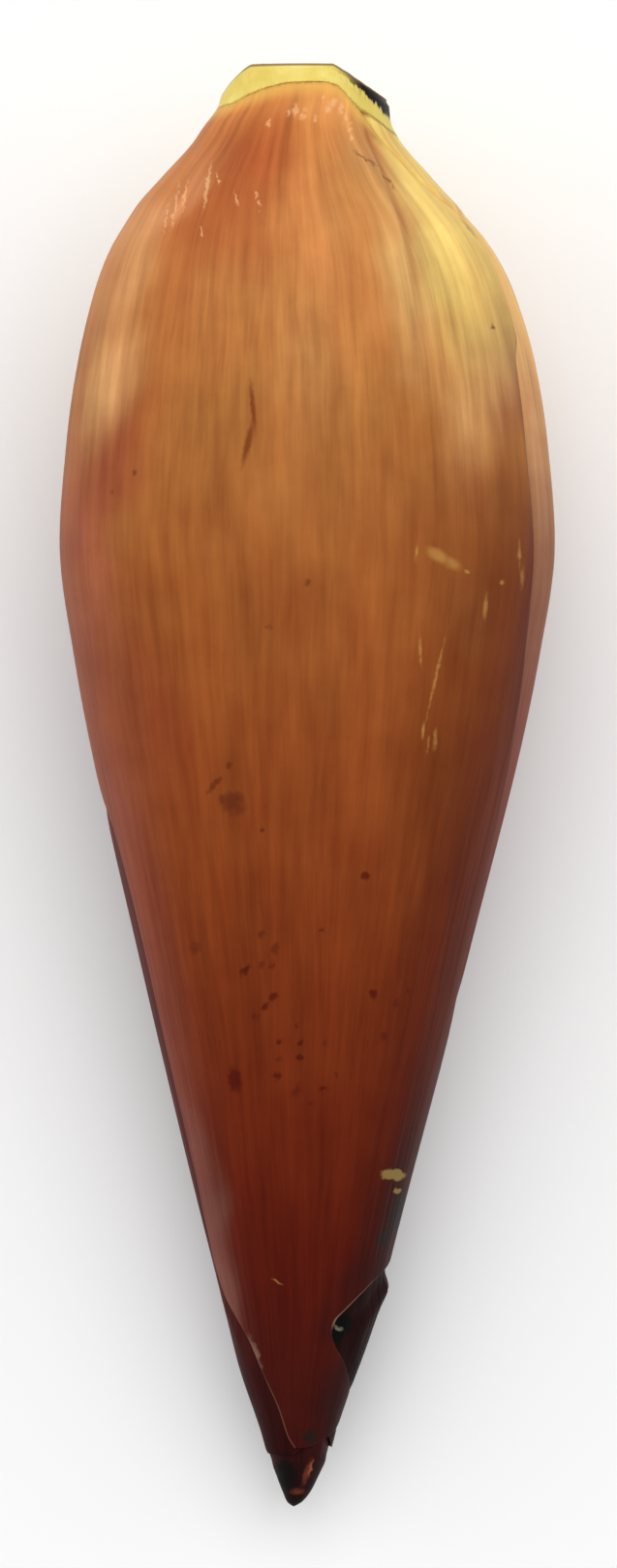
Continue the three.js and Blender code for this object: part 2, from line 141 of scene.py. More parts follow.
# %% The outer bracts
BRACTS = [
    {
        "name": "front_bract", "middle": 0, "tip": 240,
        "left": curve([
            (0, -96), (60, -106), (100, -104), (118, -96), (134, -75), (158, -71.5), (191, -71), (208, -76),
            (212.5, -72), (216.5, -60), (221, -47), (226, -38), (232, -26), (237, -18), (240, -3),
        ]),
        "right": curve([
            (0, 68), (33, 67.5), (46, 63.5), (68, 62.5), (90, 64.5), (113, 69.5), (138, 74.5), (156, 76),
            (170, 86), (190, 96), (206, 96), (208, 79), (210.2, 59), (212.6, 46), (214.8, 36), (217, 27.5),
            (219, 26), (221.2, 31), (223.6, 42), (227.5, 62), (231, 88), (234, 92), (235.6, 82), (237.8, 44),
            (240, -3),
        ]),
        "pressed": curve([
            (156, 76), (170, 86), (190, 96), (206, 96), (209.6, 90), (212.8, 71), (216.8, 50), (219.6, 41),
            (223.4, 46), (227.5, 64), (231, 88), (234.6, 94), (236, 90), (238.4, 56),
        ]),
        "base": curve([
            (-110, 9.4), (-90, 8.5), (-55, 8.1), (-42, 7), (-24, 5.7), (-8, 5), (12, 4.9), (22, 5.4),
            (32, 7.6), (47, 12), (52, 16.6), (56, 21), (62, 25), (68, 28),
        ]),
        "thick": curve([(0, 2), (150, 2), (206, 1.2), (232, 0.24)]),
    },
    {
        "name": "right_bract", "middle": 146, "tip": 240.6,
        "left": curve([
            (0, 42), (40, 50), (70, 48), (110, 42), (160, 44), (196, 34), (206, 12), (228, 12), (234, 30),
            (238, 62), (240.6, 110),
        ]),
        "right": curve([
            (0, 230), (60, 238), (120, 236), (170, 228), (205, 212), (222, 194), (233, 160), (240.6, 110),
        ]),
        "base": curve([(40, 9.2), (56, 10.9), (71, 12.6), (90, 13), (135, 12.5), (180, 8), (240, 11)]),
        "thick": curve([(0, 2.1), (150, 2), (206, 0.9), (230, 0.18)]),
    },
    {
        "name": "left_bract", "middle": -106, "tip": 241.5,
        "left": curve([
            (0, -160), (70, -172), (150, -170), (205, -165), (228, -158), (237, -125), (241.5, -60),
        ]),
        "right": curve([
            (0, -54), (70, -54), (110, -42), (160, -40), (206, -34), (220, -20), (232, -2), (238, 12),
            (240.4, -8), (241.5, -60),
        ]),
        "base": curve([(-170, 16), (-125, 13), (-90, 14), (-40, 17)]),
        "thick": curve([(0, 1.8), (150, 1.7), (206, 0.8), (230, 0.18)]),
    },
]


def inside(bract, down, angle, pressing=False):
    """The angle as the bract counts it, and how many degrees it lies inside the nearer margin.

    Where a bract presses on what lies below it, a torn notch counts as smaller than it is."""
    own = bract["middle"] + (angle - bract["middle"] + 180) % 360 - 180
    reach = np.minimum(down, bract["tip"] - TIP_SEAT)
    right = bract["right"](reach)
    if pressing and "pressed" in bract:
        right = np.maximum(right, bract["pressed"](reach))
    return own, np.minimum(own - bract["left"](reach), right - own)


def cover(bract, down, angle):
    """1 under a bract, falling to 0 a little way outside its margins, base and tip."""
    own, margin = inside(bract, down, angle, pressing=True)
    above_base = (bract["base"](own) - down) / BASE_SEAT
    past_tip = (down - bract["tip"]) / TIP_FADE
    return smooth(1 + margin / THINNING) * smooth(1 - above_base) * smooth(1 - past_tip)


def thickness(bract, down, angle):
    """A bract is thickest along its middle and thins out towards its margins and its base."""
    own, margin = inside(bract, down, angle)
    share = np.minimum(margin / THINNING, (down - bract["base"](own)) / BASE_THINNING)
    thin = edge_thickness(down)
    return mix(thin, np.maximum(bract["thick"](down), thin), smooth(share))


def under(count, down, angle):
    """The depth of the surface just under that many of the outer bracts."""
    depth = np.zeros(np.broadcast(down, angle).shape)
    for order, bract in enumerate(BRACTS[:count]):
        below = under(order, down, angle) + thickness(bract, down, angle) + gap(down)
        depth = np.maximum(depth, cover(bract, down, angle) * below)
    return depth


# %% [markdown]
# ## From the bud's frame to the table
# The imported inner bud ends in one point, the tip of the whole blossom. Where that point lies tells how far
# the leaning bud was moved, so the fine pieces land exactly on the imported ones.

# %% Where the bud lies
lean = np.array(Matrix.Rotation(math.radians(LEAN), 3, "X"))
bud_points = np.empty(len(nodes["inner_bud"].data.vertices) * 3)
nodes["inner_bud"].data.vertices.foreach_get("co", bud_points)
bud_points = bud_points.reshape(-1, 3)
tip_on_table = bud_points[bud_points[:, 1].argmin()]
tip_in_bud = np.array([float(bend(LENGTH)), -LENGTH, 0.0])
moved = tip_on_table * 1000 - lean @ tip_in_bud


def on_table(points):
    """Points of the bud's frame in metres on the table. What would reach below it is pressed flat."""
    placed = points @ lean.T + moved
    placed[..., 2] = np.maximum(placed[..., 2], 0.0)
    return placed / 1000


print("the bud is moved by", moved.round(2), "mm, tip at", (tip_on_table * 1000).round(2))

# %% [markdown]
# ## One way to make a closed skin
# All the pieces are lofts: rings of points, one after another down the axis. A ring of one point is a pole.
# A bract's first ring is folded flat, outer face on inner face, and is closed across the fold. Each corner
# of each face also keeps its angle and its distance down, as a UV map, for the materials to read.


# %% Loft
def new_object(name, data):
    """An object that shows the data, linked to the scene."""
    made = bpy.data.objects.new(name, data)
    bpy.context.scene.collection.objects.link(made)
    return made


def loft(name, rings, around, down, fold=False):
    """A closed mesh skinned over rings of points, given as an array of rings by points by 3.

    around and down hold each point's angle and distance, with one more column than the ring has points, so
    that a ring's last face ends at 360 degrees and not at 0. The skin ends in the last ring's mean point, and
    starts in the first ring's mean point unless it is folded."""
    count, size = rings.shape[:2]
    index = np.arange(count * size).reshape(count, size)
    wrapped = np.concatenate([index, index[:, :1]], axis=1)
    points = rings.reshape(-1, 3)
    texture = np.stack([around / 360 + 0.5, down / LENGTH], axis=-1)

    def corners(grid):
        a, b = grid[:-1, :-1], grid[:-1, 1:]
        c, d = grid[1:, 1:], grid[1:, :-1]
        return np.stack([a, d, c, b], axis=2).reshape((-1, 4) + grid.shape[2:])

    faces = corners(wrapped).tolist()
    uvs = [corners(texture).reshape(-1, 2)]

    def pole(ring, row, flip):
        faces_here = np.stack([np.full(size, len(points)), wrapped[row, :-1], wrapped[row, 1:]], axis=1)
        left, right = texture[row, :-1], texture[row, 1:]
        here = np.stack([(left + right) / 2, left, right], axis=1)
        faces.extend((faces_here[:, ::-1] if flip else faces_here).tolist())
        uvs.append((here[:, ::-1] if flip else here).reshape(-1, 2))
        return np.concatenate([points, ring.mean(axis=0)[None]])

    points = pole(rings[-1], -1, True)
    if fold:
        half = size // 2
        first = index[0]
        a, b = first[: half - 1], first[1:half]
        c, d = first[::-1][1:half], first[::-1][: half - 1]
        faces.extend(np.stack([a, b, c, d], axis=1).tolist())
        here = texture[0, :half]
        back = texture[0, size - half : size][::-1]
        uvs.append(np.stack([here[:-1], here[1:], back[1:], back[:-1]], axis=1).reshape(-1, 2))
    else:
        points = pole(rings[0], 0, False)
    mesh = bpy.data.meshes.new(name)
    mesh.from_pydata(on_table(points), [], faces)
    layer = mesh.uv_layers.new(name="Bud")
    layer.data.foreach_set("uv", np.concatenate(uvs).astype(np.float32).ravel())
    mesh.shade_smooth()
    mesh.update()
    triangles = sum(len(face) - 2 for face in faces)
    print(name, len(mesh.vertices), "points,", triangles, "triangles")
    return new_object(name, mesh)


def round_loft(name, rings, downs):
    """The same for rings that start at angle 0, each with one number for its distance down."""
    columns = len(rings[0])
    around = np.tile(np.arange(columns + 1) / columns * 360, (len(rings), 1))
    return loft(name, np.stack(rings), around, np.tile(np.array(downs)[:, None], (1, columns + 1)))


def keep(piece, name, values):
    """Stores one number for each point, ring by ring, for a material to read. The pole takes the last one."""
    layer = piece.data.attributes.new(name, "FLOAT", "POINT")
    numbers = np.append(values.ravel(), values.ravel()[-1])
    layer.data.foreach_set("value", numbers.astype(np.float32))


def stand_for(piece, node):
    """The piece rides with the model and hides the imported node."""
    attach(piece, "root")
    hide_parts(node)


# %% [markdown]
# ## The camera
# The photograph looks square at the bud's side with the cut end up. The bud lies down here, so the camera
# looks down on it, leaned as the bud's axis is. The photograph is 1620 pixels tall and the bud fills 1493
# of them.

# %% Camera
PHOTO_WIDTH, PHOTO_HEIGHT = 637, 1620
BUD_TOP_PIXEL, BUD_TIP_PIXEL = 64, 1557
AXIS_PIXEL = PHOTO_WIDTH / 2
CAMERA_DISTANCE = 1200.0
FILM = 36.0
pixel = LENGTH / (BUD_TIP_PIXEL - BUD_TOP_PIXEL)
middle_down = (PHOTO_HEIGHT / 2 - BUD_TOP_PIXEL) * pixel

camera_data = bpy.data.cameras.new("camera")
camera_data.sensor_width = FILM
camera_data.lens = FILM * CAMERA_DISTANCE / (PHOTO_HEIGHT * pixel)
camera = new_object("camera", camera_data)
camera_place = Vector((lean @ np.array([0.0, -middle_down, CAMERA_DISTANCE]) + moved) / 1000)
camera.matrix_world = Matrix.Translation(camera_place) @ Matrix.Rotation(math.radians(LEAN), 4, "X")
bpy.context.scene.camera = camera
print("lens", round(camera_data.lens, 1), "mm, a pixel of the photograph is", round(pixel, 4), "mm")

# %% [markdown]
# ## Veins and folds as real relief
# The bract's surface isn't smooth: long low folds run from base to tip, with finer veins between them. The
# folds are part of the mesh, so that they show in profile. The finest veins are left to the materials. The
# crease beside the pale shoulder and a few shallow dents of the front bract are relief too.


# %% Relief
FOLDS = [(3.3, 0.05), (4.9, 0.07), (8.7, 0.08), (17.0, 0.10)]  # period in degrees and height in millimetres
FOLDS_START, FOLDS_RISE = 14, 26  # where they start down the bud, and over how far they rise
FOLDS_LEAST, FOLDS_FADE = 3, 14  # the half width where they end, and over how much of it they fade
FRONT_FOLDS = 0.32  # how strong the folds are on the front bract
CREASE_DEPTH = 0.55
SHOULDER_DEPTH = 0.35  # of the broad hollow beyond the crease


def folds(down, angle, seed):
    """Height of the long folds: a sum of sine waves round the bud, each of its own period.

    A slow wave along the axis makes each one drift a little sideways, and another makes it swell and fade.
    They rise from nothing near the base and die away where the bud gets thin."""
    draw = np.random.default_rng(seed)
    height = np.zeros(np.broadcast(down, angle).shape)
    for period, size in FOLDS:
        turn, drift, swell = draw.uniform(0, 2 * math.pi, 3)
        sideways = 0.22 * period * np.sin(down / 41 + drift)
        strength = 0.65 + 0.35 * np.sin(down / 27 + angle / 13 + swell)
        height += size * strength * np.sin(2 * math.pi * (angle + sideways) / period + turn)
    rise = smooth((down - FOLDS_START) / FOLDS_RISE)
    return height * rise * smooth((width(down) - FOLDS_LEAST) / FOLDS_FADE)


def dent(down, angle, place, size, depth):
    """A soft hollow: a bell curve of that depth. Its size is a half length down and a half width around."""
    off = ((down - place[0]) / size[0]) ** 2 + ((angle - place[1]) / size[1]) ** 2
    return -depth * np.exp(-off)


crease = curve([(12, 43), (19, 40), (24, 37), (34, 32.5), (42, 31.3), (60, 30.5)])
# Each hollow is (place down and round, size, depth).
HOLLOWS = [
    ((52, -33), (17, 9), 0.55), ((78, -58), (20, 9), 0.4), ((84, 40), (22, 10), 0.3),
    ((127, -28), (6, 6), 0.15), ((205, 10), (18, 18), 0.2),
]


def front_relief(down, angle):
    """The front bract's folds, its crease beside the pale shoulder, and its shallow dents.

    The crease is a bell curve, 2.6 degrees to its side at the top and 1.8 below, and the shoulder beyond it is
    a wider one."""
    from_crease = (angle - crease(down)) / mix(2.6, 1.8, smooth(down / 60))
    length_of_crease = smooth((down - 9) / 6) * smooth((62 - down) / 22)
    line = -CREASE_DEPTH * np.exp(-(from_crease**2)) * length_of_crease
    shoulder = -SHOULDER_DEPTH * np.exp(-((from_crease - 4.5) ** 2) / 9) * length_of_crease
    hollows = sum(dent(down, angle, *hollow) for hollow in HOLLOWS)
    return FRONT_FOLDS * folds(down, angle, 3) + line + shoulder + hollows


SIDE_FOLDS = 0.45  # how strong they are on the others


def side_relief(down, angle):
    """The right bract's folds, and the lump where it springs up through the front bract's notch."""
    return SIDE_FOLDS * folds(down, angle, 11) - dent(down, angle, (211.6, 92), (3.4, 14), 0.9)


print("a fold is up to", round(float(folds(90, np.linspace(-90, 90, 400), 3).max()), 2), "mm high")


# %% [markdown]
# ## The bracts
# A bract's ring runs from its left margin to its right margin on the outer face and back on the inner one.
# Its margins are rounded over in a few narrow columns, so that they catch the light as a thick leaf's edge
# does. The front bract's right margin runs inward near the tip, where it is torn into a notch, and the
# bract below it springs up there.

# %% Bract surfaces
RIM = 0.8  # width of the rounded margin
RIM_COLUMNS = 3
ROUNDED = 0.42  # how much of the thickness each face gives up at the margin
BASE_FOLLOWED = 70.0  # rows down to here run level with the base line
RELIEF_RISE = 6.0  # how far from the base the relief reaches its full height


def bract_ring_angles(bract, row, columns):
    """Angles across the bract: a few within RIM of each margin, and the rest evenly spread.

    The second value is 0 on the margins and rises to 1 where the rim ends."""
    left, right = bract["left"](row), bract["right"](row)
    rim = np.minimum(np.degrees(RIM / np.maximum(width(row), 1)), (right - left) * 0.2)
    near = np.linspace(0, 1, RIM_COLUMNS + 1)[:-1] ** 1.5
    share = np.linspace(0, 1, columns)
    left_rim = left[:, None] + rim[:, None] * near
    right_rim = right[:, None] - rim[:, None] * near[::-1]
    middle = mix((left + rim)[:, None], (right - rim)[:, None], share)
    edge = np.concatenate([near, np.ones(columns), near[::-1]])
    return np.concatenate([left_rim, middle, right_rim], axis=1), edge


def bract_piece(order, rows, columns, relief):
    """The bract's two faces, a thickness apart, with its margins rounded as a quarter circle on each face."""
    bract = BRACTS[order]
    row = np.maximum(rows, 0.01)
    angle, edge = bract_ring_angles(bract, row, columns)
    row = row[:, None]
    down = row + bract["base"](angle) * (1 - smooth(row / BASE_FOLLOWED))
    top = under(order, down, angle)
    thick = thickness(bract, down, angle)
    rounding = (1 - np.sqrt(1 - (1 - edge) ** 2)) * ROUNDED * thick
    near_base = smooth((down - bract["base"](angle)) / RELIEF_RISE)
    outer = at(down, angle, top + rounding - relief(down, angle) * edge * near_base)
    inner = at(down, angle, top + thick - rounding)
    rings = np.concatenate([outer, inner[:, ::-1]], axis=1)
    around = np.concatenate([angle, angle[:, ::-1], angle[:, :1]], axis=1)
    downs = np.concatenate([down, down[:, ::-1], down[:, :1]], axis=1)
    piece = loft(bract["name"], rings, around, downs, fold=True)
    to_margin = np.minimum(angle - angle[:, :1], angle[:, -1:] - angle)
    from_margin = np.radians(to_margin) * width(down)
    from_base = np.broadcast_to(row, angle.shape)
    past_crease = angle - crease(down)
    for name, values in (("FromMargin", from_margin), ("FromBase", from_base), ("PastCrease", past_crease)):
        keep(piece, name, np.concatenate([values, values[:, ::-1]], axis=1))
    return piece


def spaced(*stretches):
    """Distances down the axis, in stretches of (start, end, steps)."""
    return np.concatenate([np.linspace(*stretch, endpoint=False) for stretch in stretches])


front_rows = spaced((0, 20, 16), (20, 200, 90), (200, 206, 8), (206, 222, 56), (222, 239.7, 40))
front_bract = bract_piece(0, front_rows, 190, front_relief)
side_rows = spaced((0, 20, 24), (20, 200, 80), (200, 240.3, 60))
right_bract = bract_piece(1, side_rows, 190, side_relief)
left_rows = spaced((0, 20, 12), (20, 200, 80), (200, 241.2, 60))
left_bract = bract_piece(2, left_rows, 130, lambda down, angle: SIDE_FOLDS * folds(down, angle, 17))
stand_for(front_bract, "front_bract")
stand_for(right_bract, "right_bract")
stand_for(left_bract, "left_bract")

# %% [markdown]
# ## The stalk
# The stalk was cut with a knife, which left a nearly level cut with a bevel on the right. Below the cut it
# flares out to carry the bracts, and inside the bud it narrows into the axis that the florets grow from.

# %% Stalk surface
COLLAR = curve([
    (-180, 8), (-130, 9.6), (-90, 8.5), (-55, 8.1), (-42, 7), (-24, 5.7), (-8, 5), (12, 4.9), (22, 5.4),
    (32, 7.6), (42, 9.4), (56, 10.9), (71, 12.6), (90, 13), (135, 12.5), (180, 8),
])


def cut(x, z):
    """How far down the cut lies across the stalk: nearly level, rounded off left, bevelled right."""
    level = 0.9 + 0.055 * z
    rounded = 0.135 * np.maximum(-8 - x, 0) ** 2 + 0.1 * z
    bevel = 0.68 * (x - 4) + 0.11 * z
    return np.maximum(level, np.maximum(rounded, bevel))


GROOVE = 0.12  # how far the skin ends before the bracts
CUT_RINGS = (0.02, 0.2, 0.4, 0.6, 0.75, 0.88, 0.95, 0.985)  # as shares of the cut's radius
SKIN_RINGS = 22
RIM_DROP = 0.3  # how far under the cut's edge the skin starts
TUCK = 2.0  # how far the first ring under the bracts lies inside
AXIS_RINGS = 10
BLUNT_END = 6.0  # length of the axis's end


def stalk_piece(columns):
    """Rings over the cut face, over its rim, down the flare to the bracts, and along the axis inside.

    The texture counts steps, not millimetres: 0 on the cut, 1 to 11 down the skin, and more inside."""
    turn = np.arange(columns) / columns * 360
    turn = np.where(turn > 180, turn - 360, turn)
    collar = COLLAR(turn)
    rim_point = at(0.0, turn, width(0) - stalk_radius(0))
    rim_down = cut(rim_point[:, 0], rim_point[:, 2]) + RIM_DROP
    rings, downs = [], []

    def add_ring(ring, step):
        rings.append(ring)
        downs.append(step)

    for share in CUT_RINGS:
        ring = at(0.0, turn, width(0) - stalk_radius(0) * share)
        ripple = 0.12 * np.sin(ring[:, 0] * 1.9 + 0.6) * np.sin(ring[:, 2] * 1.1)
        ring[:, 1] = -cut(ring[:, 0], ring[:, 2]) + ripple * (share < 0.9)
        add_ring(ring, 0)
    for share in np.linspace(0, 1, SKIN_RINGS):
        down = mix(rim_down, collar - GROOVE, share)
        free = (width(down) - stalk_radius(down)) * (1 - smooth(share * 5))
        lump = 0.1 * np.sin(np.radians(turn * 7) + share * 3) * np.sin(math.pi * share)
        add_ring(at(down, turn, free + lump), share * 10 + 1)
    add_ring(at(collar - GROOVE / 2, turn, under(len(BRACTS), collar + 1, turn)), 11.5)
    add_ring(at(collar + TUCK, turn, under(len(BRACTS), collar + TUCK, turn)), 12)
    for share in np.linspace(0.12, 0.95, AXIS_RINGS):
        down = mix(collar + TUCK, STALK_END - BLUNT_END, share)
        depth = np.maximum(width(down) - stalk_radius(down), under(len(BRACTS), down, turn))
        add_ring(at(down, turn, depth), 12 + 40 * share)
    add_ring(at(STALK_END, turn, width(STALK_END) - 1.5), 60)
    return round_loft("stalk", rings, downs)


stalk = stalk_piece(160)
stand_for(stalk, "stalk")

# %% [markdown]
# ## The closed bud
# The younger bracts are wound tight round one another. Only the tip shows, with their rolled margins as low
# steps that wind round it. At the top the bud has a socket for the stalk's axis, and it is drawn in beside
# the florets.

# %% Inner bud surface
BUD_TOP = 38.0
DRAWN_IN = 12.8  # depth that the bud is drawn in beside the florets
FLORETS_END, FILL_OUT = 74.0, 36.0  # where it starts to fill out below them, and over how far
ROLLS = 3
ROLL_TURN = 1.6  # degrees that a rolled margin winds on with each millimetre
ROLL_AT = (245, 20)  # distance down and angle of a place that a rolled margin crosses
ROLL_HEIGHT = 0.05  # as a share of the bud's half width
ROLLS_START, ROLLS_RISE = 205, 25  # where the margins start to stand up, and over how far
SLACK = 0.15  # gap under the bracts
SOCKET_RINGS = (STALK_END, 58.0, 50.0, 44.0, 39.0)


def bud_piece(columns):
    """Rings up the socket from its end, over the rim, and down the outside to the tip."""
    turn = np.arange(columns) / columns * 360

    def outside(down):
        drawn_in = DRAWN_IN * (1 - smooth((down - FLORETS_END) / FILL_OUT))
        share = ((turn - ROLL_AT[1] - ROLL_TURN * (down - ROLL_AT[0])) * (ROLLS / 360)) % 1.0
        step = share * smooth((1 - share) * 25)
        roll = ROLL_HEIGHT * width(down) * step * smooth((down - ROLLS_START) / ROLLS_RISE)
        return at(down, turn, np.maximum(drawn_in, under(len(BRACTS), down, turn) + SLACK) + roll)

    socket = [at(down, turn, width(down) - stalk_radius(down) - gap(down)) for down in SOCKET_RINGS]
    end = at(STALK_END + 1.5, turn, width(STALK_END + 1.5) - 1.0)
    rim = [at(BUD_TOP, turn, width(BUD_TOP) - radius) for radius in (14.5, 20.0)]
    outer_downs = np.concatenate([spaced((41, 200, 60), (200, 249.2, 110)), [249.2, 249.6, 249.9]])
    rings = [end] + socket + rim + [outside(down) for down in outer_downs]
    downs = [STALK_END, *SOCKET_RINGS, BUD_TOP, BUD_TOP, *outer_downs]
    return round_loft("inner_bud", rings, downs)


inner_bud = bud_piece(200)
stand_for(inner_bud, "inner_bud")

# %% [markdown]
# ## Materials: helpers first
# A material is a small network of nodes. A few helpers keep its code short: `add` makes a node and fills
# its inputs, `calc` does one step of arithmetic, `between` turns a value into a mask, and `tinted` lays one
# colour over another where masks allow it.


# %% Node helpers
def srgb(red, green, blue):
    """A colour given as the eye sees it, 0 to 255, as the linear values that nodes use."""
    shares = [channel / 255 for channel in (red, green, blue)]
    linear = [s / 12.92 if s <= 0.04045 else ((s + 0.055) / 1.055) ** 2.4 for s in shares]
    return (*linear, 1.0)


def add(tree, kind, inputs=None, **settings):
    """A new node. Each input is a plain value or the output that feeds it."""
    node = tree.nodes.new(kind)
    for name, value in settings.items():
        setattr(node, name, value)
    for key, value in (inputs or {}).items():
        if isinstance(value, bpy.types.NodeSocket):
            tree.links.new(value, node.inputs[key])
        else:
            node.inputs[key].default_value = value
    return node


def calc(tree, operation, first, second=0.0, third=0.0):
    """One step of arithmetic."""
    return add(tree, "ShaderNodeMath", {0: first, 1: second, 2: third}, operation=operation).outputs[0]


def line_of(tree, value, slope, start):
    """The value times a slope, plus a start."""
    return calc(tree, "MULTIPLY_ADD", value, slope, start)


def vector_calc(tree, operation, inputs, output="Vector"):
    """One step of arithmetic with vectors."""
    return add(tree, "ShaderNodeVectorMath", inputs, operation=operation).outputs[output]


def between(tree, value, low, high):
    """0 below low, 1 above high, and a smooth step between. With low above high it falls instead."""
    inputs = {"Value": value, "From Min": low, "From Max": high}
    return add(tree, "ShaderNodeMapRange", inputs, interpolation_type="SMOOTHSTEP").outputs[0]


def both(tree, *masks):
    """The product of masks and strengths."""
    result = masks[0]
    for mask in masks[1:]:
        result = calc(tree, "MULTIPLY", result, mask)
    return result


def steps(tree, *limits):
    """The product of smooth steps, each given as (value, low, high)."""
    return both(tree, *(between(tree, *limit) for limit in limits))


def blend(tree, mask, first, second, kind="MIX"):
    """The first colour where the mask is 0, the second where it is 1."""
    node = add(tree, "ShaderNodeMix", {0: mask, 6: first, 7: second}, data_type="RGBA", blend_type=kind)
    return node.outputs[2]


def tinted(tree, color, tint, *masks):
    """The colour with a tint laid over it, as far as the product of masks and strengths says."""
    return blend(tree, both(tree, *masks), color, srgb(*tint))


def ramp(tree, value, stops):
    """Colours along a value, each stop a place from 0 to 1 and a colour."""
    node = add(tree, "ShaderNodeValToRGB", {0: value})
    bar = node.color_ramp
    while len(bar.elements) < len(stops):
        bar.elements.new(0.5)
    for element, (place, color) in zip(bar.elements, stops):
        element.position = place
        element.color = color
    return node.outputs[0]


def noise(tree, vector, scale=1.0, detail=2.0, rough=0.5):
    """Soft noise from 0 to 1."""
    inputs = {"Vector": vector, "Scale": scale, "Detail": detail, "Roughness": rough}
    return add(tree, "ShaderNodeTexNoise", inputs).outputs[0]


def new_group(name, inputs, outputs):
    """An empty node group with number sockets, and its input and output nodes."""
    tree = bpy.data.node_groups.new(name, "ShaderNodeTree")
    for socket in (*inputs, *outputs):
        side = "INPUT" if socket in inputs else "OUTPUT"
        tree.interface.new_socket(socket, in_out=side, socket_type="NodeSocketFloat")
    print("group", name, "gives", ", ".join(outputs))
    return tree, tree.nodes.new("NodeGroupInput").outputs, tree.nodes.new("NodeGroupOutput").inputs


# %% [markdown]
# ## Where a point lies on the bud
# Marks and colours are placed by where they are on the bud. This group gives each point its distance across
# and down in millimetres, and its angle round the axis in degrees, from the object's own coordinates and UV
# map.


# %% Group: place on the bud
def place_group():
    tree, _, out = new_group("bud_place", (), ("Across", "Down", "Around"))
    uv = add(tree, "ShaderNodeUVMap", uv_map="Bud").outputs[0]
    parts = add(tree, "ShaderNodeSeparateXYZ", {0: uv}).outputs
    here = add(tree, "ShaderNodeTexCoord").outputs["Object"]
    across = add(tree, "ShaderNodeSeparateXYZ", {0: here}).outputs[0]
    tree.links.new(line_of(tree, across, 1000.0, -float(moved[0])), out["Across"])
    tree.links.new(calc(tree, "MULTIPLY", parts[1], LENGTH), out["Down"])
    tree.links.new(line_of(tree, parts[0], 360.0, -180.0), out["Around"])
    return tree


PLACE = place_group()


# %% Group: veins
def stretched(tree, around, down, per_degree, per_step, third=0.0):
    """The angle and the distance, each times its own factor, as the place where noise is read."""
    inputs = {0: both(tree, around, per_degree), 1: both(tree, down, per_step), 2: third}
    return add(tree, "ShaderNodeCombineXYZ", inputs).outputs[0]


def veins_group():
    """Streaks that run down the bud: noise squeezed round it and drawn out along it, at three widths."""
    tree, given, out = new_group("veins", ("Around", "Down", "Seed"), ("Fine", "Middle", "Broad", "Height"))
    slow = stretched(tree, given["Around"], given["Down"], 0.05, 0.035, given["Seed"])
    drift = line_of(tree, noise(tree, slow), 3.2, given["Around"])

    def streaks(per_degree, per_millimetre, shift):
        seed = calc(tree, "ADD", given["Seed"], shift)
        return noise(tree, stretched(tree, drift, given["Down"], per_degree, per_millimetre, seed))

    fine = streaks(1.15, 0.075, 3.0)
    middle = streaks(0.32, 0.045, 7.0)
    broad = streaks(0.09, 0.034, 11.0)
    tree.links.new(fine, out["Fine"])
    tree.links.new(middle, out["Middle"])
    tree.links.new(broad, out["Broad"])
    tree.links.new(line_of(tree, middle, 0.6, fine), out["Height"])
    return tree


VEINS = veins_group()


# %% [markdown]
# ## Reading places off the photograph
# The marks were found on the photograph, so they are listed in its pixels. A point of the upper side
# is nearer to the camera than the bud's axis is, so it shows a little further from the middle of the
# picture than it lies. `on_bud` takes that back, and gives millimetres across and down.


# %% From a pixel to the bud
def on_bud(x, y):
    """Millimetres across and down for a pixel: first on the plane of the axis, then twice on the surface."""
    height = 0.0
    for _ in range(3):
        shrink = (CAMERA_DISTANCE - height) / CAMERA_DISTANCE * pixel
        across = (x - AXIS_PIXEL) * shrink
        down = middle_down + (y - PHOTO_HEIGHT / 2) * shrink
        share = np.clip((across - bend(down)) / width(down), -1, 1)
        height = float(width(down) * upper(down) * np.sqrt(1 - share**2))
    return float(across), float(down)


def flat_place(tree, place, ragged=0.0, grain=0.9):
    """Millimetres across and down as one vector, shifted a little by noise so that marks get ragged edges."""
    plain = add(tree, "ShaderNodeCombineXYZ", {0: place["Across"], 1: place["Down"]}).outputs[0]
    if not ragged:
        return plain
    cloud = add(tree, "ShaderNodeTexNoise", {"Vector": plain, "Scale": grain, "Detail": 1.0}).outputs[1]
    shift = vector_calc(tree, "SUBTRACT", {0: cloud, 1: (0.5, 0.5, 0.5)})
    shift = vector_calc(tree, "SCALE", {0: shift, "Scale": ragged})
    return vector_calc(tree, "ADD", {0: plain, 1: shift})


def turned(across, down, tilt, stretch):
    """A place turned by a tilt in degrees, with its length then divided by a stretch."""
    s, c = math.sin(math.radians(tilt)), math.cos(math.radians(tilt))
    return across * c - down * s, (across * s + down * c) / stretch


def turned_nodes(tree, here, tilt, stretch):
    """The same with nodes."""
    if tilt:
        inputs = {"Vector": here, "Angle": math.radians(tilt)}
        here = add(tree, "ShaderNodeVectorRotate", inputs, rotation_type="Z_AXIS").outputs[0]
    if stretch != 1:
        here = vector_calc(tree, "MULTIPLY", {0: here, 1: (1, 1 / stretch, 1)})
    return here


LIKE_SIZE = 0.7  # a mark wider than this share of the widest one's width goes into the same mask


